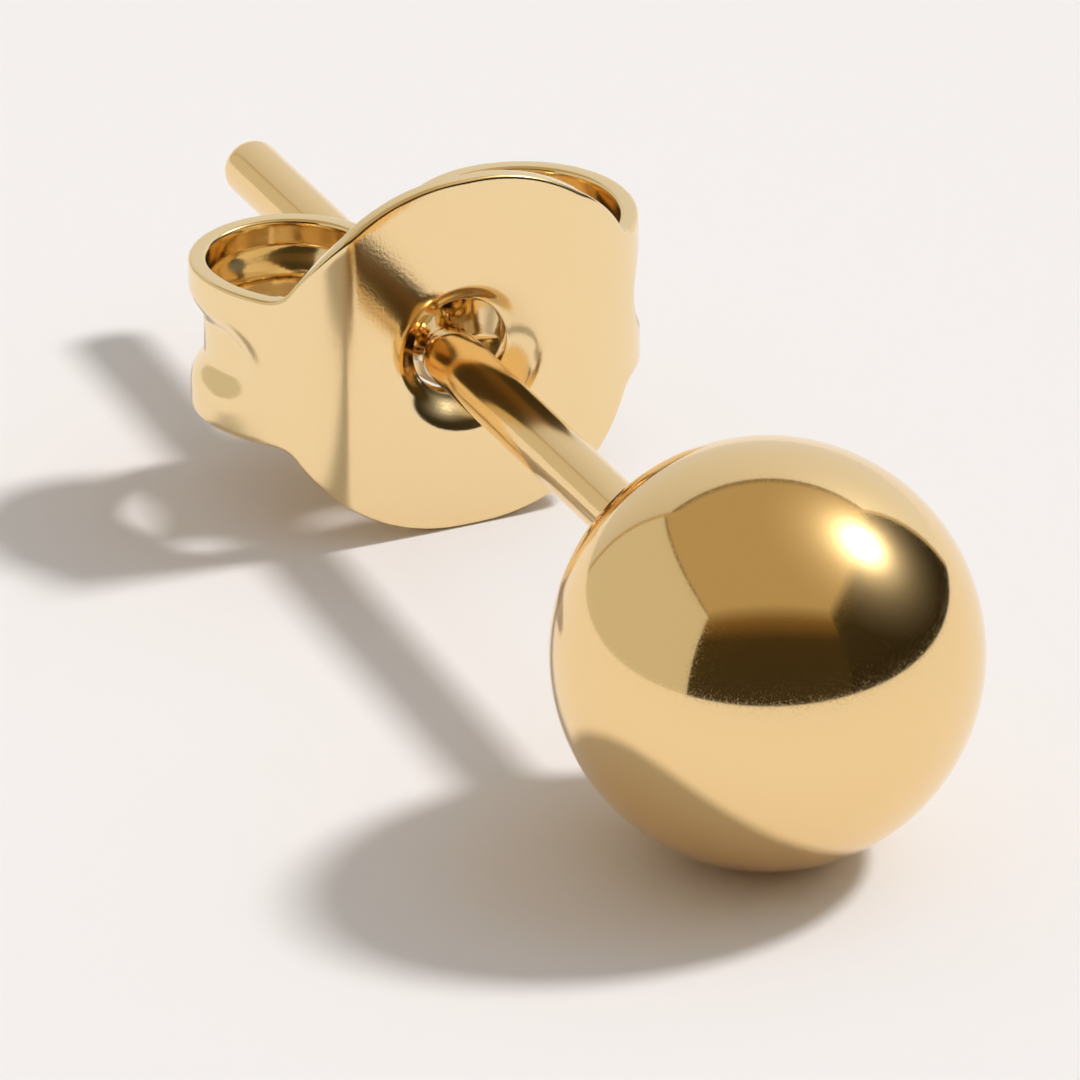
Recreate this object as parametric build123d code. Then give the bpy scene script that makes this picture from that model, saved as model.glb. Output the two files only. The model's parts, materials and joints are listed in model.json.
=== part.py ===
from build123d import *
from math import asin, atan2, cos, degrees, hypot, radians, sin
import os

# Ball stud earring lying on its side: a solid ball soldered to a straight post, and the folded
# butterfly back that grips the post. Millimetres. The floor is Z = 0 and the origin is on it, under
# the middle of the whole stud. The post runs along +Y from the ball to its tip. It drops a little
# on the way, because the stud lies on the ball and on the back's plate, which is the smaller one.
# Each piece is made around its own level axis first, and both are then laid down on the floor.

# ball and post
BALL_R = 2.5
POST_R = 0.35
POST_START = 1.25  # the post's other end, sunk into the ball
TIP_FROM_BALL = 15.0  # centre of the ball to the end of the post
TIP_FILLET = 0.24
SOLDER_R = 0.6  # the solder's cone where the post leaves the ball
SOLDER_START = 2.45  # just inside the ball's surface
SOLDER_END = 2.75

# click notch: a shallow ring around the post, hidden inside the back while it is in place
NOTCH_WIDTH = 0.62
NOTCH_DEPTH = 0.07
NOTCH_BEHIND_PLATE = 0.12

# butterfly back: one strip of sheet, a round plate in front and an arm curled up at each side
PLATE_FROM_BALL = 8.8  # centre of the ball to the front face of the plate
SHEET = 0.22
PLATE_R = 2.24
PLATE_STRETCH = 0.24  # the plate is this much wider than it is high
PLATE_RISE = 0.02  # the plate's middle stands this much above the post's axis
HALF_WIDTH = 2.78
ARM_HEIGHT = 1.88
ARM_FILLET = 0.25
ARM_GAP = 0.4  # between the rims of the two arms, on either side of the post
ASIDE = 0.2  # the plate sits this far to the right of the post, which its wide hole allows

# the strip's middle surface after the flat plate: (radius of the bend, degrees that it turns)
FRONT_BENDS = [(0.5, 16), (1.5, 16), (1.6, 28), (1.6, 30)]
SCROLL_TURN = 180  # as far as the rim beside the post; its radius is what fits
END_BEND = (1.0, 75)
ARM_HEADING = 90  # from here on the strip is only as high as the arms

# the groove pressed along the middle of each arm, in which the post lies
GROOVE_WIDTH = 1.0
GROOVE_DEPTH = 0.17
GROOVE_HEADING = 60  # the strip has turned this far where the groove begins

# the funnel around the hole in the plate
FUNNEL_R = 0.92
FUNNEL_DEPTH = 0.28
HOLE_R = 0.6

# how far the post drops from level once the ball and the plate's rear lower edge touch the floor
PLATE_LOW = PLATE_R - PLATE_RISE
LOW_EDGE_Y = PLATE_FROM_BALL + SHEET
DROP = degrees(asin(BALL_R / hypot(LOW_EDGE_Y, PLATE_LOW)) - atan2(PLATE_LOW, LOW_EDGE_Y))
MIDDLE_Y = (TIP_FROM_BALL - BALL_R) / 2  # the middle of the stud, measured from the ball's centre

TALL = 10.0  # stock that is larger than the back every way, before it is cut to its outline
SAME_PLACE = 1e-4  # two heights closer than this are the same


def plate_half_width():
    """The flat plate ends here, so that the bends beside it reach the back's full width."""
    x, heading = HALF_WIDTH - SHEET / 2, 0
    for radius, turn in FRONT_BENDS:
        x -= radius * (sin(radians(heading + turn)) - sin(radians(heading)))
        heading += turn
    return x


def post_profile():
    """Half of the post's section: distance along the post on Y, radius on X."""
    outline = Polyline(
        (0, POST_START),
        (SOLDER_R, POST_START),
        (SOLDER_R, SOLDER_START),
        (POST_R, SOLDER_END),
        (POST_R, TIP_FROM_BALL),
        (0, TIP_FROM_BALL),
        close=True,
    )
    face = make_face(outline)
    corner = face.vertices().sort_by(Axis.Y)[-2:].sort_by(Axis.X)[-1]
    return fillet(corner, TIP_FILLET)


def click_notch():
    """The ring that is turned out of the post just behind the back's plate."""
    half = NOTCH_WIDTH / 2
    ring_r = (half**2 + NOTCH_DEPTH**2) / (2 * NOTCH_DEPTH)
    middle = PLATE_FROM_BALL + NOTCH_BEHIND_PLATE + half
    section = Pos(POST_R - NOTCH_DEPTH + ring_r, middle) * Circle(ring_r)
    return revolve(section, Axis.Y)


def ball_and_post():
    """Ball and post, soldered into one solid, around the Y axis with the ball at the origin."""
    post = revolve(post_profile(), Axis.Y) - click_notch()
    return Sphere(BALL_R) + post


def front_outline():
    """The back seen along the post: a disc stretched sideways, and the arms' height beside it."""
    disc = Pos(0, PLATE_RISE) * SlotCenterToCenter(PLATE_STRETCH, 2 * PLATE_R)
    outline = disc + Rectangle(TALL, ARM_HEIGHT)
    inner_corners = outline.vertices().filter_by(
        lambda v: abs(abs(v.Y) - ARM_HEIGHT / 2) < SAME_PLACE and abs(v.X) < HALF_WIDTH
    )
    return fillet(inner_corners, ARM_FILLET)


def flat_section(radius, height):
    """Section of the flat strip: a plain rectangle standing at its distance from a bend's axis."""
    return Pos(radius, 0) * Rectangle(SHEET, height)


def grooved_section(radius, height):
    """Section of an arm: the sheet with the groove pressed into its outer face."""
    outer = radius + SHEET / 2
    inner = radius - SHEET / 2
    half_groove = GROOVE_WIDTH / 2
    half_ridge = half_groove + SHEET / 2
    top = height / 2
    edges = [
        Line((outer, -top), (outer, -half_groove)),
        ThreePointArc((outer, -half_groove), (outer - GROOVE_DEPTH, 0), (outer, half_groove)),
        Line((outer, half_groove), (outer, top)),
        Line((outer, top), (inner, top)),
        Line((inner, top), (inner, half_ridge)),
        ThreePointArc((inner, half_ridge), (inner - GROOVE_DEPTH, 0), (inner, -half_ridge)),
        Line((inner, -half_ridge), (inner, -top)),
        Line((inner, -top), (outer, -top)),
    ]
    return make_face(edges)


def bent_strip(section, centre, start, turn):
    """A bend of the strip: its section turned around an upright axis, from one heading to the next."""
    upright = Plane.XZ * section
    bend = revolve(upright, Axis.Z, turn)
    return Pos(*centre, 0) * Rot(0, 0, start - 90) * bend


def wing(rim):
    """The strip to the right of the flat plate. It curls back and in until its outer face is at rim."""
    x, y, heading = plate_half_width(), SHEET / 2, 0
    front, arm = None, None
    scroll_r = (HALF_WIDTH - rim - SHEET) / 2
    for radius, turn in [*FRONT_BENDS, (scroll_r, SCROLL_TURN), END_BEND]:
        centre = (x - radius * sin(radians(heading)), y + radius * cos(radians(heading)))
        height = TALL if heading < ARM_HEADING else ARM_HEIGHT
        section = flat_section if heading < GROOVE_HEADING else grooved_section
        bend = bent_strip(section(radius, height), centre, heading, turn)
        if heading < ARM_HEADING:
            front = bend if front is None else front + bend
        else:
            arm = bend if arm is None else arm + bend
        heading += turn
        x = centre[0] + radius * sin(radians(heading))
        y = centre[1] - radius * cos(radians(heading))
    return front, arm


def funnel():
    """The hole's rim, pressed backwards: a thin cone around the post."""
    back = FUNNEL_DEPTH + SHEET
    outline = Polyline(
        (HOLE_R, FUNNEL_DEPTH),
        (FUNNEL_R, 0),
        (FUNNEL_R + SHEET, 0),
        (FUNNEL_R + SHEET, SHEET),
        (HOLE_R + SHEET / 2, back),
        (HOLE_R, back),
        close=True,
    )
    return revolve(make_face(outline), Axis.Y)


def butterfly_back():
    """The folded back, with the front face of its plate at Y = 0 and the hole's axis on Y."""
    plate = Pos(0, SHEET / 2, 0) * Box(2 * plate_half_width(), SHEET, TALL)
    front, right_arm = wing(ARM_GAP / 2 - ASIDE)
    left_arm = mirror(wing(ARM_GAP / 2 + ASIDE)[1], Plane.YZ)
    sheet = plate + front + mirror(front, Plane.YZ)
    outline = extrude(Plane.XZ * front_outline(), -TALL)
    opening = Pos(0, SHEET / 2, 0) * Rot(90, 0, 0) * Cylinder(FUNNEL_R + SHEET / 2, 2 * SHEET)
    pressed = (sheet & outline) - opening + funnel()
    return pressed + right_arm + left_arm


def main():
    os.makedirs("parts", exist_ok=True)
    laid_down = Pos(-ASIDE, -MIDDLE_Y, BALL_R) * Rot(-DROP, 0, 0)
    on_post = Pos(ASIDE, PLATE_FROM_BALL, 0)
    export_step(laid_down * ball_and_post(), "parts/ball_and_post.step")
    export_step(laid_down * on_post * butterfly_back(), "parts/butterfly_back.step")
    notch_start = PLATE_FROM_BALL + NOTCH_BEHIND_PLATE
    print("drop of the post, degrees:", round(DROP, 4))
    print("ear post: solder's end to notch, from the ball:", SOLDER_END, notch_start)


main()
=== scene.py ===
# %% [markdown]
# # A ball stud earring, lying on paper
# The stud is a mirror-polished ball soldered to a straight post, held by a folded butterfly back.
# The CAD model is the fixed frame: it says how large each piece is and how it moves. This lesson
# builds the pieces as a goldsmith makes them. The ball is turned, and the back is stamped flat,
# pressed, and then bent round.

# %% The frame
import json
import math
from collections import Counter

import bmesh
import bpy
from mathutils import Matrix, Vector


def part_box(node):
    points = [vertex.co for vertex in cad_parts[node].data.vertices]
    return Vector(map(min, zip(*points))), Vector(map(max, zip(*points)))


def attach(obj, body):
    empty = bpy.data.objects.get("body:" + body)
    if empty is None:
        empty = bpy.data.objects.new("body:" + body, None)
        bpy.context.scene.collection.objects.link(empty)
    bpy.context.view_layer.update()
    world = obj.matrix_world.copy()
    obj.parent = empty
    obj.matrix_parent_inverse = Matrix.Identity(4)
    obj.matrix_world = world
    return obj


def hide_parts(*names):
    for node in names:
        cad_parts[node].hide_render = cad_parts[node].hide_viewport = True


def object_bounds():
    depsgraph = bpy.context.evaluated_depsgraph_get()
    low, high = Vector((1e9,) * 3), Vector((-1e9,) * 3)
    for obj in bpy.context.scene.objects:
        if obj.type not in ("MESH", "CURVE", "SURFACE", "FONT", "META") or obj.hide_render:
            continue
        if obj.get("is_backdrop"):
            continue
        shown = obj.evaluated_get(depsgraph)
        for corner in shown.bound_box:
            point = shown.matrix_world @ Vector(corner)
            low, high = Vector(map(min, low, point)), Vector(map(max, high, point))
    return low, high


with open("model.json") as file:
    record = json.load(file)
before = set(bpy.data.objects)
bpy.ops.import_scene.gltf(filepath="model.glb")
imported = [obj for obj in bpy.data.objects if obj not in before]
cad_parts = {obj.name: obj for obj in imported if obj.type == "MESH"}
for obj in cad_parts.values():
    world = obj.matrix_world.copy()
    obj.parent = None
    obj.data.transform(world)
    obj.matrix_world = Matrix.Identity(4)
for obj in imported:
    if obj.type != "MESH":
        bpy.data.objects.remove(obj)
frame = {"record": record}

cad_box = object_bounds()
print("CAD box, metres:", [tuple(round(value, 5) for value in corner) for corner in cad_box])

# %% [markdown]
# ## A bench to work on
# Jewellery is measured in millimetres and turned around an axis, so every piece is first made
# around the post's own axis: the ball's centre at zero and the post along Y. One matrix then
# scales it to metres and lays it down where the CAD piece lies. The post drops a little towards
# its tip, and the joint's axis says by how much.

# %% From the bench to the floor
post_axis = Vector(frame["record"]["behaviour"]["joints"][0]["axis"])
drop = math.atan2(-post_axis.z, post_axis.y)
ball_low, ball_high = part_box("ball_and_post")
MM = 1000  # millimetres in a metre
A_HAIR = 0.002  # mm; the pieces stay this much inside their CAD boxes
BALL_R = (ball_high.x - ball_low.x) * MM / 2 - A_HAIR
ball_centre = Vector((
    (ball_low.x + ball_high.x) / 2, ball_low.y + (BALL_R + A_HAIR) / MM, (BALL_R + A_HAIR) / MM,
))
turned_to_floor = Matrix.Rotation(-drop, 4, "X") @ Matrix.Scale(1 / MM, 4)
LAY_DOWN = Matrix.Translation(ball_centre) @ turned_to_floor
print("ball radius, mm:", round(BALL_R, 3), " drop, degrees:", round(math.degrees(drop), 2))


def finished_piece(name, mesh, body, node):
    """Lays a finished mesh down on the floor and lets it stand for its CAD node."""
    mesh.transform(LAY_DOWN)
    mesh.shade_smooth()
    piece = bpy.data.objects.new(name, mesh)
    bpy.context.scene.collection.objects.link(piece)
    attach(piece, body)
    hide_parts(node)
    print(name, "has", len(mesh.polygons), "faces")


# %% [markdown]
# ## The camera
# Small jewellery is best shown through a long lens, from the front and a little above, so that it
# looks calm and hardly distorted. A 647 mm lens stands in for a macro lens close to the stud.

# %% The camera
VIEW_AZIMUTH, VIEW_ELEVATION = math.radians(-24.2), math.radians(27.3)
VIEW_DISTANCE = 0.2241  # metres
looked_at = Vector((-0.001307, -0.002384, 0.00237))  # between the ball and the back
towards_camera = Vector((
    math.sin(VIEW_AZIMUTH) * math.cos(VIEW_ELEVATION),
    -math.cos(VIEW_AZIMUTH) * math.cos(VIEW_ELEVATION),
    math.sin(VIEW_ELEVATION),
))
LENS_MM, SENSOR_MM = 647, 36
NEAREST, FARTHEST = 0.01, 10  # metres; the camera sees nothing outside these
lens = bpy.data.cameras.new("long_lens")
lens.lens, lens.sensor_width = LENS_MM, SENSOR_MM
lens.clip_start, lens.clip_end = NEAREST, FARTHEST
camera = bpy.data.objects.new("camera", lens)
camera.location = looked_at + towards_camera * VIEW_DISTANCE
camera.rotation_mode = "QUATERNION"
camera.rotation_quaternion = (-towards_camera).to_track_quat("-Z", "Y")
bpy.context.scene.collection.objects.link(camera)
bpy.context.scene.camera = camera
print("camera at, mm:", [round(value * MM, 1) for value in camera.location])

# %% [markdown]
# ## The ball and its post
# A goldsmith solders a ball to a piece of drawn wire. The whole thing is round about one axis, so
# it is made like a turned piece: half an outline, given as distance along the post and radius, is
# spun round the axis. The outline is a half circle, a small hollow fillet where the solder ran,
# the wire with the shallow click notch that hides inside the back, and a rounded tip.

# %% Half the outline of the ball and post
POST_R = 0.35
SOLDER_R, SOLDER_END = 0.6, 2.75
FILLET_REACH = 0.06  # the solder's curve is drawn towards a point this far behind its edge
NOTCH_START, NOTCH_END, NOTCH_DEPTH = 8.92, 9.54, 0.07
TIP_END, TIP_ROUND = 15.0 - A_HAIR, 0.26
BALL_STEPS, SOLDER_STEPS, NOTCH_STEPS, TIP_STEPS = 160, 10, 12, 12
WIRE_STEPS, TAIL_STEPS = 30, 26

outline = []
solder_angle = math.pi - math.asin(SOLDER_R / BALL_R)
for step in range(BALL_STEPS + 1):
    angle = solder_angle * step / BALL_STEPS
    outline.append((-BALL_R * math.cos(angle), BALL_R * math.sin(angle)))

solder_start = outline[-1]
hollow = (solder_start[0] + FILLET_REACH, POST_R)
for step in range(1, SOLDER_STEPS + 1):
    t = step / SOLDER_STEPS
    outline.append(tuple(
        (1 - t) ** 2 * a + 2 * t * (1 - t) * b + t ** 2 * c
        for a, b, c in zip(solder_start, hollow, (SOLDER_END, POST_R))
    ))

for step in range(1, WIRE_STEPS + 1):
    outline.append((SOLDER_END + (NOTCH_START - SOLDER_END) * step / WIRE_STEPS, POST_R))
notch_half = (NOTCH_END - NOTCH_START) / 2
for step in range(1, NOTCH_STEPS + 1):
    across = step / (NOTCH_STEPS / 2) - 1  # -1 at the notch's start, 1 at its end
    outline.append((
        NOTCH_START + notch_half * (1 + across),
        POST_R - NOTCH_DEPTH * (1 - across ** 2),
    ))

tail_end = TIP_END - TIP_ROUND
for step in range(1, TAIL_STEPS + 1):
    outline.append((NOTCH_END + (tail_end - NOTCH_END) * step / TAIL_STEPS, POST_R))
for step in range(1, TIP_STEPS + 1):
    angle = math.pi / 2 * step / TIP_STEPS
    outline.append((
        tail_end + TIP_ROUND * math.sin(angle),
        POST_R - TIP_ROUND * (1 - math.cos(angle)),
    ))
outline.append((TIP_END, 0))
print("outline of", len(outline), "points, from", outline[0], "to", outline[-1])

# %% [markdown]
# ## The ball and its post: on the lathe
# The outline is spun once round the axis. A mirror shows every facet, so it takes 192 steps. The
# last step lands on the first, and points that now lie on each other are welded, or the skin
# would stay open along a seam. The faces beyond the solder get the wire's finish.

# %% Spinning the outline
SPIN_STEPS = 192
WELD = A_HAIR / 10  # mm; points closer than this become one
turned = bmesh.new()
profile = [turned.verts.new((radius, along, 0)) for along, radius in outline]
edges = [turned.edges.new(pair) for pair in zip(profile, profile[1:])]
bmesh.ops.spin(
    turned, geom=profile + edges, cent=(0, 0, 0), axis=(0, 1, 0), dvec=(0, 0, 0),
    angle=2 * math.pi, steps=SPIN_STEPS, use_duplicate=False,
)
bmesh.ops.remove_doubles(turned, verts=turned.verts, dist=WELD)
bmesh.ops.recalc_face_normals(turned, faces=turned.faces)
print("open edges in the ball:", sum(not edge.is_manifold for edge in turned.edges))
ball_mesh = bpy.data.meshes.new("ball_and_post_turned")
turned.to_mesh(ball_mesh)
turned.free()

wire_faces = 0
for face in ball_mesh.polygons:
    if face.center.y > SOLDER_END:
        face.material_index = 1
        wire_faces += 1
finished_piece("ball_and_post_turned", ball_mesh, "stud", "ball_and_post")
print("of these", wire_faces, "faces are the wire's")

# %% [markdown]
# ## The back: its bends
# A butterfly back starts as a flat strip. A press folds it: the plate stays flat in the middle,
# and each side turns back in a soft corner and then curls round until its end lies along the
# post. The folded strip is a chain of arcs, so each bend is a radius and the degrees it turns.
# The hole is wider than the post, so the plate has slipped a little to one side (ASIDE). The
# springy arms follow the post, so the left one is curled tighter than the right one.

# %% Following the bends
PLATE_Y = 8.8  # the front face of the plate, from the ball's centre
SHEET = 0.22
HALF_WIDTH = 2.78 - A_HAIR
ARM_GAP = 0.4
ASIDE = 0.2
FRONT_BENDS = [(0.32, 16), (1.5, 16), (1.6, 58)]
END_BEND = (1.0, 75)
BENDS = {}
for side in (1, -1):  # right, left
    scroll_r = (HALF_WIDTH - (ARM_GAP / 2 - side * ASIDE) - SHEET) / 2
    BENDS[side] = [*FRONT_BENDS, (scroll_r, 180), END_BEND]

reach, heading = HALF_WIDTH - SHEET / 2, 0.0
for radius, degrees in FRONT_BENDS:
    turned_to = heading + math.radians(degrees)
    reach -= radius * (math.sin(turned_to) - math.sin(heading))
    heading = turned_to
FLAT = reach  # half the width of the flat plate


def arc_lengths(bends):
    """The length of strip that these bends use."""
    return sum(radius * math.radians(degrees) for radius, degrees in bends)


def bent(length, side):
    """Where a point this far along one side lies, from above, and the sheet's heading there."""
    x, y, heading = min(length, FLAT), SHEET / 2, 0.0
    left = length - x
    for radius, degrees in BENDS[side]:
        turn = min(left / radius, math.radians(degrees))
        x += radius * (math.sin(heading + turn) - math.sin(heading))
        y += radius * (math.cos(heading) - math.cos(heading + turn))
        heading += turn
        left -= radius * turn
    return x, y, heading


STRIP_END = {side: FLAT + arc_lengths(BENDS[side]) for side in (1, -1)}
print("the flat strip's two halves, mm:", STRIP_END, " of which flat:", round(FLAT, 2))
print("the right end lies at, mm:", [round(value, 2) for value in bent(STRIP_END[1], 1)[:2]])

# %% [markdown]
# ## The back: its outline
# Seen along the post, the strip is a disc stretched a little sideways, and an arm at each side
# that is less than half as high. A tight hollow leads from the disc to the arm. The ends of the
# arms have rounded corners, so that they don't scratch the ear.

# %% The outline of the strip
DISC_R, DISC_STRETCH, DISC_RISE = 2.24 - A_HAIR, 0.24, 0.02
ARM_HALF = 0.94
HOLLOW_R = 0.25
END_ROUND = 0.35


def edge_height(length, side, up, inset=0.0):
    """The height of the strip's upper (up is 1) or lower (up is -1) edge, or a line inside it."""
    x, _, heading = bent(length, side)
    x -= DISC_STRETCH / 2
    rise = up * DISC_RISE
    disc_r, hollow_r, end_r = DISC_R - inset, HOLLOW_R + inset, END_ROUND - inset
    hollow_ends = math.sqrt((DISC_R + HOLLOW_R) ** 2 - (ARM_HALF + HOLLOW_R - rise) ** 2)
    hollow_starts = hollow_ends * disc_r / (DISC_R + HOLLOW_R)
    if heading < math.pi / 2 and x < hollow_starts:
        return rise + math.sqrt(disc_r ** 2 - max(x, 0) ** 2)
    if heading < math.pi / 2 and x < hollow_ends:
        return ARM_HALF + HOLLOW_R - math.sqrt(hollow_r ** 2 - (hollow_ends - x) ** 2)
    into_round = max(length - (STRIP_END[side] - END_ROUND), 0)
    return ARM_HALF - END_ROUND + math.sqrt(max(end_r ** 2 - into_round ** 2, 0))


heights = [round(edge_height(step / 2, 1, 1), 2) for step in range(16)]
print("heights every half millimetre:", heights)

# %% [markdown]
# ## The back: what the press leaves
# Two shapes are pressed into the sheet. Round the hole it is pushed back into a small funnel,
# which leads the post in. Along each arm runs a groove in which the post lies, and its rounded
# beginning can be seen on the corner of the arm. Both are depths below the front face of the
# sheet, eased with a smooth step, since a press never makes a sharp edge.

# %% Pressed shapes
HOLE_R, FUNNEL_R, FUNNEL_DEPTH = 0.6, 1.02, 0.28
GROOVE_DEPTH, GROOVE_FLOOR, GROOVE_EDGE = 0.17, 0.22, 0.64
GROOVE_PAST_CORNER = 1.3  # from the end of the second bend to the middle of the rounded beginning
GROOVE_START = FLAT + arc_lengths(FRONT_BENDS[:2]) + GROOVE_PAST_CORNER
GROOVE_TAPER = 0.75  # under 1, the groove's beginning is longer than it is wide


def eased(value, low, high):
    """0 at low and 1 at high, with a soft start and end."""
    t = min(max((value - low) / (high - low), 0), 1)
    return t * t * (3 - 2 * t)


def pressed(length, height):
    """How deep the press pushes the sheet in at a point of the flat strip."""
    from_hole = math.hypot(length, height)
    from_groove = math.hypot(GROOVE_TAPER * min(length - GROOVE_START, 0), height)
    funnel = FUNNEL_DEPTH * (1 - eased(from_hole, HOLE_R, FUNNEL_R))
    groove = GROOVE_DEPTH * (1 - eased(from_groove, GROOVE_FLOOR, GROOVE_EDGE))
    return funnel + groove


def pressed_and_bent(length, height):
    """A point of the flat strip once pressed and bent. Lengths to the left are minus."""
    x, y, heading = bent(abs(length), 1 if length > 0 else -1)
    depth = pressed(abs(length), height)
    x -= depth * math.sin(heading)
    y += depth * math.cos(heading)
    return Vector((ASIDE + math.copysign(x, length), PLATE_Y + y, height))


def lifted(length, height, lift):
    """The same point, lifted off the sheet's middle towards its front face."""
    along = pressed_and_bent(length + A_HAIR, height) - pressed_and_bent(length - A_HAIR, height)
    upward = pressed_and_bent(length, height + A_HAIR) - pressed_and_bent(length, height - A_HAIR)
    return pressed_and_bent(length, height) + lift * along.cross(upward).normalized()


# %% [markdown]
# ## The back: the plan of the strip
# The flat strip is laid out in rows and columns, with the rows crowded where the groove needs
# them. Round the hole the rows turn into rings, so that the funnel and the hole's rim stay truly
# round. Where an arm's end is rounded the columns are crowded too. The whole plan can be drawn a
# little inside the outline, which the soft rims will need.

# %% Rings round the hole and columns along the arms
BLOCK = 1.25  # half the width of the block of rings
ROWS = 22  # above and below the axis, each
CROWDING = 1.25  # over 1, the rows are closer together near the axis
side_rows = [math.copysign(abs(row / ROWS) ** CROWDING, row) for row in range(-ROWS, ROWS + 1)]
ACROSS = 30
top_xs = [BLOCK * math.cos(math.pi * step / ACROSS) for step in range(1, ACROSS)]
RING_STEP = 0.05
INNER_RINGS, OUTER_RINGS = 10, 8
COLUMN = 0.055
END_COLUMNS = 8


def arm_columns(side, inset):
    """How far along the strip each column of an arm stands."""
    round_starts = STRIP_END[side] - END_ROUND
    evenly = math.ceil((round_starts - BLOCK) / COLUMN)
    lengths = [BLOCK + (round_starts - BLOCK) * column / evenly for column in range(1, evenly + 1)]
    for column in range(1, END_COLUMNS + 1):
        angle = math.pi / 2 * column / END_COLUMNS
        lengths.append(round_starts + (END_ROUND - inset) * math.sin(angle))
    return lengths


def plan(inset):
    """Every point of the strip's plan, as (length, height), drawn this far inside its outline."""
    def at(length, share):
        side, up = (1 if length > 0 else -1), (1 if share > 0 else -1)
        return length, share * edge_height(abs(length), side, up, inset)

    rim = [at(BLOCK, share) for share in side_rows]  # from the block's lower right corner
    rim += [at(x, 1) for x in top_xs]
    rim += [at(-BLOCK, share) for share in reversed(side_rows)]
    rim += [at(-x, -1) for x in top_xs]
    points = []
    inner_end = HOLE_R + RING_STEP * INNER_RINGS
    for ring in range(INNER_RINGS + OUTER_RINGS + 1):
        for x, z in rim:
            reach = math.hypot(x, z)
            radius = HOLE_R + inset + (inner_end - HOLE_R - inset) * ring / INNER_RINGS
            if ring > INNER_RINGS:
                radius = inner_end + (reach - inner_end) * (ring - INNER_RINGS) / OUTER_RINGS
            points.append((x * radius / reach, z * radius / reach))
    for side in (1, -1):
        for length in arm_columns(side, inset):
            points += [at(side * length, share) for share in side_rows]
    return points


print("the plan has", len(plan(0)), "points")

# %% [markdown]
# ## The back: the faces of the plan
# Faces are written down as places in that list of points: first the rings, then the columns of
# each arm, which start from the block's side. An edge that only one face uses lies on a rim,
# either round the outside or round the hole.

# %% Faces and rims of the plan
once_round = 2 * (len(side_rows) + len(top_xs))
quads = []
for ring in range(INNER_RINGS + OUTER_RINGS):
    for i in range(once_round):
        here, before = ring * once_round + i, ring * once_round + (i - 1) % once_round
        quads.append((before, here, here + once_round, before + once_round))
outer_ring = (INNER_RINGS + OUTER_RINGS) * once_round
next_column = outer_ring + once_round
for side in (1, -1):
    near = [outer_ring + row for row in range(len(side_rows))]
    if side < 0:
        near = [place + len(side_rows) + len(top_xs) for place in reversed(near)]
    for _ in arm_columns(side, 0):
        far = [next_column + row for row in range(len(side_rows))]
        for i in range(1, len(side_rows)):
            quads.append((near[i - 1], near[i], far[i], far[i - 1]))
        near = far
        next_column += len(side_rows)

used = Counter(frozenset(pair) for quad in quads for pair in zip(quad, quad[1:] + quad[:1]))
rim_edges = [tuple(sorted(pair)) for pair, times in used.items() if times == 1]
print("the plan has", len(quads), "faces and", len(rim_edges), "edges on its rims")

# %% [markdown]
# ## The back: a skin with soft rims
# The press works on a sheet 0.22 mm thick, and its stamped edges are tumbled until they are
# smooth. So the skin is a pile of layers. Each is the same plan, drawn a little inside the outline
# and lifted a little off the middle of the sheet. The first and the last are the two faces of the
# sheet. Those between them only have rims, and step round the softened edge like a quarter circle.
# Every point goes through the press and the bends before it becomes a vertex.

# %% The skin
SOFTENED = 0.048  # mm, the radius of the tumbled rims
RIM_STEPS = 4
front_half = []
for step in range(RIM_STEPS + 1):
    angle = math.pi / 2 * step / RIM_STEPS
    inset = SOFTENED * (1 - math.sin(angle))
    lift = SHEET / 2 - SOFTENED * (1 - math.cos(angle))
    front_half.append((inset, lift))
layers = front_half + [(inset, -lift) for inset, lift in reversed(front_half)]

skin = bmesh.new()
rim_places = {place for pair in rim_edges for place in pair}
above = None
for inset, lift in layers:
    is_face = abs(lift) == SHEET / 2
    layer = {
        place: skin.verts.new(lifted(*point, lift))
        for place, point in enumerate(plan(inset)) if is_face or place in rim_places
    }
    if is_face:
        for quad in quads:
            skin.faces.new([layer[place] for place in quad])
    if above:
        for a, b in rim_edges:
            skin.faces.new((above[a], above[b], layer[b], layer[a]))
    above = layer

bmesh.ops.recalc_face_normals(skin, faces=skin.faces)
print("open edges in the back:", sum(not edge.is_manifold for edge in skin.edges))
back_mesh = bpy.data.meshes.new("butterfly_back_pressed")
skin.to_mesh(back_mesh)
skin.free()
finished_piece("butterfly_back_pressed", back_mesh, "back", "butterfly_back")

# %% [markdown]
# ## Materials: three helpers
# A colour is written as the hex value that a paint chart would give, and one function turns it
# into the linear numbers that a shader wants. Another adds a node: its settings, then its inputs,
# each of which is a plain value or another node's output. The third starts an empty material.

# %% Helpers for materials


def linear(hex_colour):
    """An sRGB hex colour as linear red, green, blue and alpha."""
    channels = [int(hex_colour[i: i + 2], 16) / 255 for i in (1, 3, 5)]
    return (*[c / 12.92 if c <= 0.04045 else ((c + 0.055) / 1.055) ** 2.4 for c in channels], 1.0)


def add(tree, kind, settings=None, inputs=None):
    """Adds a node, with its settings and what feeds its inputs."""
    node = tree.nodes.new("ShaderNode" + kind)
    for name, value in (settings or {}).items():
        setattr(node, name, value)
    for name, value in (inputs or {}).items():
        if isinstance(value, bpy.types.NodeSocket):
            tree.links.new(value, node.inputs[name])
        else:
            node.inputs[name].default_value = value
    return node


def empty_material(name):
    """A material whose nodes are still to be added."""
    material = bpy.data.materials.new(name)
    material.use_nodes = True
    material.node_tree.nodes.clear()
    return material, material.node_tree


GOLD = "#f7d79e"
print("gold's yellow in linear numbers:", [round(value, 3) for value in linear(GOLD)])

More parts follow.
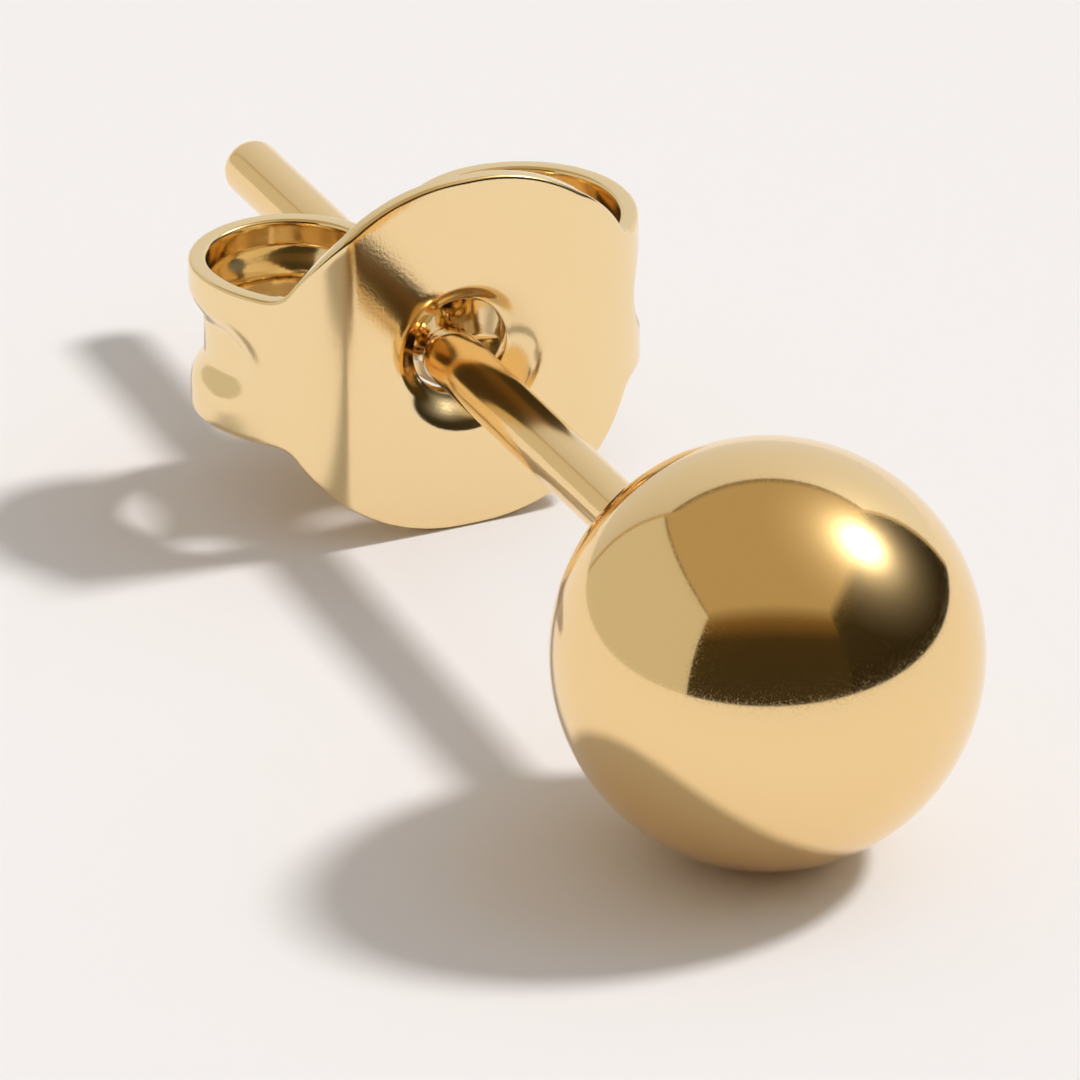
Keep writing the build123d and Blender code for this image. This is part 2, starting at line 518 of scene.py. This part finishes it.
# %% [markdown]
# ## Mirror-polished yellow gold
# The ball is polished on a mop with rouge. What the eye gets is a mirror tinted warm yellow, and
# only round a bright light does it notice the finest marks, which scatter the light into a haze.
# Rouge is far finer than 0.01 mm, which is too fine to show, so the marks are drawn 0.02 mm
# apart. A metal has no other colour than its reflections: Metallic is 1, and the base colour is
# the share of light that it returns.

# %% Mirror-polished gold
MARK_SPACING = 0.00002  # metres
polished, tree = empty_material("mirror_polished_yellow_gold")
place = add(tree, "TexCoord")
marks = add(tree, "TexNoise", {"noise_dimensions": "3D"}, {
    "Vector": place.outputs["Object"], "Scale": 1 / MARK_SPACING, "Detail": 3, "Roughness": 0.6,
})
marked = add(tree, "MapRange", {}, {
    "Value": marks.outputs["Fac"], "From Min": 0.5, "From Max": 0.7, "To Min": 0.06, "To Max": 0.22,
})
gold = add(tree, "BsdfPrincipled", {}, {
    "Base Color": linear(GOLD), "Metallic": 1, "Roughness": marked.outputs["Result"],
})
add(tree, "OutputMaterial", {}, {"Surface": gold.outputs["BSDF"]})
print("the polish marks are drawn", MARK_SPACING * MM, "mm apart")

# %% [markdown]
# ## Drawn and polished gold wire
# The post is wire pulled through a draw plate. That leaves fine lines along it, and polishing
# softens them but doesn't take them away. The eye gets long streaks instead of clear pictures.
# The same noise is used, stretched forty times along the post. Its lines are drawn 0.06 mm apart,
# which is coarser than real ones, so that they show at all.

# %% Drawn wire
LINE_SPACING = 0.00006  # metres
LINE_STRETCH = 40
LINE_DEPTH = 1e-6  # metres
wire, tree = empty_material("drawn_and_polished_gold_wire")
place = add(tree, "TexCoord")
stretched = add(tree, "Mapping", {}, {
    "Vector": place.outputs["Object"],
    "Scale": (1 / LINE_SPACING, 1 / (LINE_STRETCH * LINE_SPACING), 1 / LINE_SPACING),
})
lines = add(tree, "TexNoise", {"noise_dimensions": "3D"}, {
    "Vector": stretched.outputs["Vector"], "Scale": 1, "Detail": 3,
})
bump = add(tree, "Bump", {}, {
    "Height": lines.outputs["Fac"], "Distance": LINE_DEPTH, "Strength": 1,
})
gold = add(tree, "BsdfPrincipled", {}, {
    "Base Color": linear(GOLD), "Metallic": 1, "Roughness": 0.12,
    "Normal": bump.outputs["Normal"],
})
add(tree, "OutputMaterial", {}, {"Surface": gold.outputs["BSDF"]})
ball_mesh.materials.append(polished)
ball_mesh.materials.append(wire)
print("finishes of the ball and post:", [finish.name for finish in ball_mesh.materials])

# %% [markdown]
# ## Tumbled gold sheet
# The back is too small to polish by hand, so it is tumbled with steel shot. That leaves it bright
# but not clear: a satin in which the reflections are soft. The grain of the tumbling is drawn
# 0.04 mm apart.

# %% Tumbled sheet
GRAIN_SPACING = 0.00004  # metres
GRAIN_DEPTH = 8e-7  # metres
satin, tree = empty_material("tumbled_yellow_gold_sheet")
place = add(tree, "TexCoord")
grain = add(tree, "TexNoise", {"noise_dimensions": "3D"}, {
    "Vector": place.outputs["Object"], "Scale": 1 / GRAIN_SPACING, "Detail": 3,
})
bump = add(tree, "Bump", {}, {
    "Height": grain.outputs["Fac"], "Distance": GRAIN_DEPTH, "Strength": 1,
})
gold = add(tree, "BsdfPrincipled", {}, {
    "Base Color": linear("#f8deab"), "Metallic": 1, "Roughness": 0.13,
    "Normal": bump.outputs["Normal"],
})
add(tree, "OutputMaterial", {}, {"Surface": gold.outputs["BSDF"]})
back_mesh.materials.append(satin)
print("finish of the back:", satin.name, " grain", GRAIN_SPACING * MM, "mm apart")

# %% [markdown]
# ## The paper
# The stud lies on smooth, matt, off-white paper, which is the floor of the scene and also what the
# gold mostly reflects.

# %% The paper


def card(name, corners, material):
    """A flat sheet of paper or board from its four corners, in metres. It is part of the stage."""
    mesh = bpy.data.meshes.new(name)
    mesh.from_pydata(corners, [], [(0, 1, 2, 3)])
    mesh.materials.append(material)
    sheet = bpy.data.objects.new(name, mesh)
    bpy.context.scene.collection.objects.link(sheet)
    sheet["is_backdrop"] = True
    print(name, "has its corners at, metres:", corners)


paper, tree = empty_material("matt_paper")
matt = add(tree, "BsdfPrincipled", {}, {
    "Base Color": linear("#efece8"), "Roughness": 0.9, "Specular IOR Level": 0.2,
})
add(tree, "OutputMaterial", {}, {"Surface": matt.outputs["BSDF"]})
PAPER = 2.0  # metres from the stud to each edge
signs = [(-1, -1), (1, -1), (1, 1), (-1, 1)]
card("paper_floor", [(PAPER * across, PAPER * along, 0) for across, along in signs], paper)

# %% [markdown]
# ## The boards around the stud
# A mirror ball shows the whole studio, so the studio has to be there: a white board behind, a
# pale one to the left, and a dark room elsewhere under a warm ceiling. The boards glow softly,
# reach about fifty degrees up, and are seen only in the metal. They cast no shadow. Each is
# painted row by row, so that the dark room can lighten softly towards the ceiling.

# %% A board
ROOM = 1.0  # metres from the stud to the boards
CEILING = "#b7a480"


def only_in_metal(thing):
    """Keeps a glowing thing of the stage out of all but the reflections."""
    thing.visible_camera = False
    thing.visible_diffuse = False
    thing.visible_shadow = False
    thing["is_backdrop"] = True


def board(name, azimuth, left, right, rows):
    """An upright board. Each row is a height and the colours at the left and right ends.

    The azimuth is in degrees. Heights, left and right are shares of its distance.
    """
    material, tree = empty_material(name)
    paint = add(tree, "VertexColor", {"layer_name": "paint"})
    glow = add(tree, "Emission", {}, {"Color": paint.outputs["Color"]})
    add(tree, "OutputMaterial", {}, {"Surface": glow.outputs["Emission"]})
    away = Vector((math.sin(math.radians(azimuth)), math.cos(math.radians(azimuth)), 0))
    along = Vector((away.y, -away.x, 0))
    corners, colours = [], []
    for height, left_colour, right_colour in rows:
        corners += [(away + along * side + Vector((0, 0, height))) * ROOM for side in (left, right)]
        colours += [linear(left_colour), linear(right_colour)]
    mesh = bpy.data.meshes.new(name)
    mesh.from_pydata(corners, [], [(i, i + 1, i + 3, i + 2) for i in range(0, len(corners) - 2, 2)])
    layer = mesh.color_attributes.new("paint", "FLOAT_COLOR", "POINT")
    for i, colour in enumerate(colours):
        layer.data[i].color = colour
    mesh.materials.append(material)
    sheet = bpy.data.objects.new(name, mesh)
    bpy.context.scene.collection.objects.link(sheet)
    only_in_metal(sheet)
    print(name, "stands", round(rows[-1][0] * ROOM, 2), "m high")


# %% [markdown]
# ## The four sides of the room
# The top row of each board has the ceiling's colour, and a brown row near the tops of the pale
# ones is a thin line of painted shade where wall and ceiling meet. The white board is whiter on
# the side of the light. The two dark sides differ a little too, as any real room does.

# %% The boards
board("white_board_behind", azimuth=23, left=-0.93, right=0.97, rows=[
    (0, "#d0cdc8", "#f2f2f4"), (1.05, "#cfccc6", "#f2f2f4"),
    # the brown row is painted shade where the wall meets the ceiling
    (1.09, "#7a6a48", "#7a6a48"), (1.25, CEILING, CEILING),
])
board("pale_board_left", azimuth=-72, left=-0.88, right=1.19, rows=[
    (0, "#d2cdbf", "#d2cdbf"), (1.12, "#d2cdbf", "#d2cdbf"),
    # the brown row is painted shade where the wall meets the ceiling
    (1.15, "#7d6c48", "#7d6c48"), (1.2, CEILING, CEILING),
])
board("dark_room_right", azimuth=117, left=-1.1, right=1.1, rows=[
    (0, "#2a2518", "#2e2819"), (0.8, "#2e2819", "#3c3524"),
    (1.05, "#4a4029", "#54492f"), (1.3, CEILING, CEILING),
])
board("dark_room_front", azimuth=-157, left=-1.1, right=1.1, rows=[
    (0, "#3c3524", "#3c3524"), (0.7, "#42361f", "#42361f"),
    (1.0, "#7a6038", "#7a6038"), (1.35, CEILING, CEILING),
])

# %% [markdown]
# ## The ceiling
# A warm ceiling closes the room overhead. A plain dome is enough, since all that the metal needs
# is its colour, and like the boards it is seen only there.

# %% The ceiling
CEILING_R = 3.0  # metres
ceiling_material, tree = empty_material("warm_ceiling")
glow = add(tree, "Emission", {}, {"Color": linear(CEILING)})
add(tree, "OutputMaterial", {}, {"Surface": glow.outputs["Emission"]})
dome = bmesh.new()
bmesh.ops.create_icosphere(dome, subdivisions=3, radius=CEILING_R)
ceiling_mesh = bpy.data.meshes.new("warm_ceiling")
dome.to_mesh(ceiling_mesh)
dome.free()
ceiling_mesh.materials.append(ceiling_material)
ceiling = bpy.data.objects.new("warm_ceiling", ceiling_mesh)
bpy.context.scene.collection.objects.link(ceiling)
only_in_metal(ceiling)
print("the ceiling is a dome of", len(ceiling_mesh.polygons), "faces")

# %% [markdown]
# ## The sky
# The paper gets its soft fill from the world, which is brighter from above than from the sides,
# as it is under a softbox. Where the camera sees nothing else, the world is the pale backdrop.

# %% The sky
LOW, HIGH = 0.05, 0.8  # sines of the angles above the floor between which the fill grows
WEAK, FULL = 0.1, 1.25
world = bpy.data.worlds.new("studio")
world.use_nodes = True
bpy.context.scene.world = world
tree = world.node_tree
tree.nodes.clear()
path = add(tree, "LightPath")
place = add(tree, "TexCoord")
height = add(tree, "SeparateXYZ", {}, {"Vector": place.outputs["Generated"]})
rising = add(tree, "MapRange", {}, {
    "Value": height.outputs["Z"], "From Min": LOW, "From Max": HIGH, "To Min": WEAK, "To Max": FULL,
})
soft = add(tree, "Background", {}, {
    "Color": linear("#b5aca4"), "Strength": rising.outputs["Result"],
})
backdrop = add(tree, "Background", {}, {"Color": linear("#f0eeeb"), "Strength": 1.0})
seen = add(tree, "MixShader", {}, {
    0: path.outputs["Is Camera Ray"], 1: soft.outputs[0], 2: backdrop.outputs[0],
})
add(tree, "OutputWorld", {}, {"Surface": seen.outputs[0]})
print("the fill grows from", WEAK, "near the floor to", FULL, "overhead")

# %% [markdown]
# ## The light
# One small, strong light from the upper right makes the shadows, and their edges grow softer
# away from the stud. A second, very wide and bluish light from the same side fills the half
# shadow. Neither is seen in the metal: the next step makes the highlight.

# %% The light


def towards(azimuth, elevation):
    """A direction: degrees round from +Y towards +X, and degrees above the floor."""
    azimuth, elevation = math.radians(azimuth), math.radians(elevation)
    level = math.cos(elevation)
    return Vector((math.sin(azimuth) * level, math.cos(azimuth) * level, math.sin(elevation)))


to_light = towards(94.4, 48)


def lamp(name, energy, colour, width):
    """A far lamp in the light's direction, kept out of the metal. Its width is in degrees."""
    light = bpy.data.lights.new(name, "SUN")
    light.energy = energy
    light.color = linear(colour)[:3]
    light.angle = math.radians(width)
    holder = bpy.data.objects.new(name, light)
    holder.rotation_mode = "QUATERNION"
    holder.rotation_quaternion = to_light.to_track_quat("Z", "Y")
    bpy.context.scene.collection.objects.link(holder)
    holder.visible_glossy = False
    print(name, "shines with", energy, "and is", width, "degrees wide")


lamp("key_light", energy=2.42, colour="#fdfcff", width=8.5)
lamp("soft_light", energy=0.49, colour="#93d1ff", width=60)

# %% [markdown]
# ## The glow around the light
# In polished metal a lamp is a white spot with a wide, weak halo, which fades quickly and then
# slowly. A round disc near the stud glows like that, in almost the lamp's direction. It is seen
# only in the metal and lights nothing, so the spot and its halo are a painted highlight. It adds
# its light to whatever is behind it, so the dark room still shows through the halo. Its strength
# is a peak in the middle, raised to a power that makes it fall away, less a trace, so that it
# ends in nothing before the disc does.

# %% The glow around the light
GLOW_AWAY = 0.5  # metres from the stud
GLOW_R = 0.475
GLOW_CORE = 0.05  # the glow is strong out to about here
GLOW_FALL, GLOW_PEAK, GLOW_TRACE = 1.3, 14, 0.04
to_glow = towards(96, 47)
glow_material, tree = empty_material("glow_around_the_light")
place = add(tree, "TexCoord")
from_middle = add(tree, "VectorMath", {"operation": "LENGTH"}, {0: place.outputs["Object"]})
cores = add(tree, "Math", {"operation": "DIVIDE"}, {
    0: from_middle.outputs["Value"], 1: GLOW_CORE,
})
spread = add(tree, "Math", {"operation": "MULTIPLY_ADD"}, {
    0: cores.outputs[0], 1: cores.outputs[0], 2: 1,
})
fading = add(tree, "Math", {"operation": "POWER"}, {0: spread.outputs[0], 1: -GLOW_FALL})
bright = add(tree, "Math", {"operation": "MULTIPLY_ADD"}, {
    0: fading.outputs[0], 1: GLOW_PEAK, 2: -GLOW_TRACE,
})
positive = add(tree, "Math", {"operation": "MAXIMUM"}, {0: bright.outputs[0], 1: 0})
clear = add(tree, "BsdfTransparent")
glow = add(tree, "Emission", {}, {"Color": linear("#fffaf0"), "Strength": positive.outputs[0]})
added = add(tree, "AddShader", {}, {0: clear.outputs["BSDF"], 1: glow.outputs["Emission"]})
add(tree, "OutputMaterial", {}, {"Surface": added.outputs["Shader"]})
disc = bmesh.new()
bmesh.ops.create_circle(disc, cap_ends=True, radius=GLOW_R, segments=64)
glow_mesh = bpy.data.meshes.new("glow_around_the_light")
disc.to_mesh(glow_mesh)
disc.free()
glow_mesh.materials.append(glow_material)
# the disc is a painted highlight and halo, seen only in the metal
painted_highlight_disc = bpy.data.objects.new("glow_around_the_light", glow_mesh)
painted_highlight_disc.location = GLOW_AWAY * to_glow
painted_highlight_disc.rotation_mode = "QUATERNION"
painted_highlight_disc.rotation_quaternion = to_glow.to_track_quat("Z", "Y")
bpy.context.scene.collection.objects.link(painted_highlight_disc)
only_in_metal(painted_highlight_disc)
print("the glow is at, metres:", [round(value, 3) for value in painted_highlight_disc.location])

# %% [markdown]
# ## The colours as they are
# The Standard view shows colours unchanged, so the pale paper stays pale and the gold keeps the
# yellow that was chosen for it.

# %% The view
bpy.context.scene.view_settings.view_transform = "Standard"
print("view:", bpy.context.scene.view_settings.view_transform)

# %% [markdown]
# ## The two boxes
# The visual model must fill the same box as the CAD model, so both boxes are printed.

# %% Sizes
look_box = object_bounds()
for cad_corner, look_corner in zip(cad_box, look_box):
    pairs = [(round(a * MM, 3), round(b * MM, 3)) for a, b in zip(cad_corner, look_corner)]
    print("CAD and visual corner, mm:", pairs)
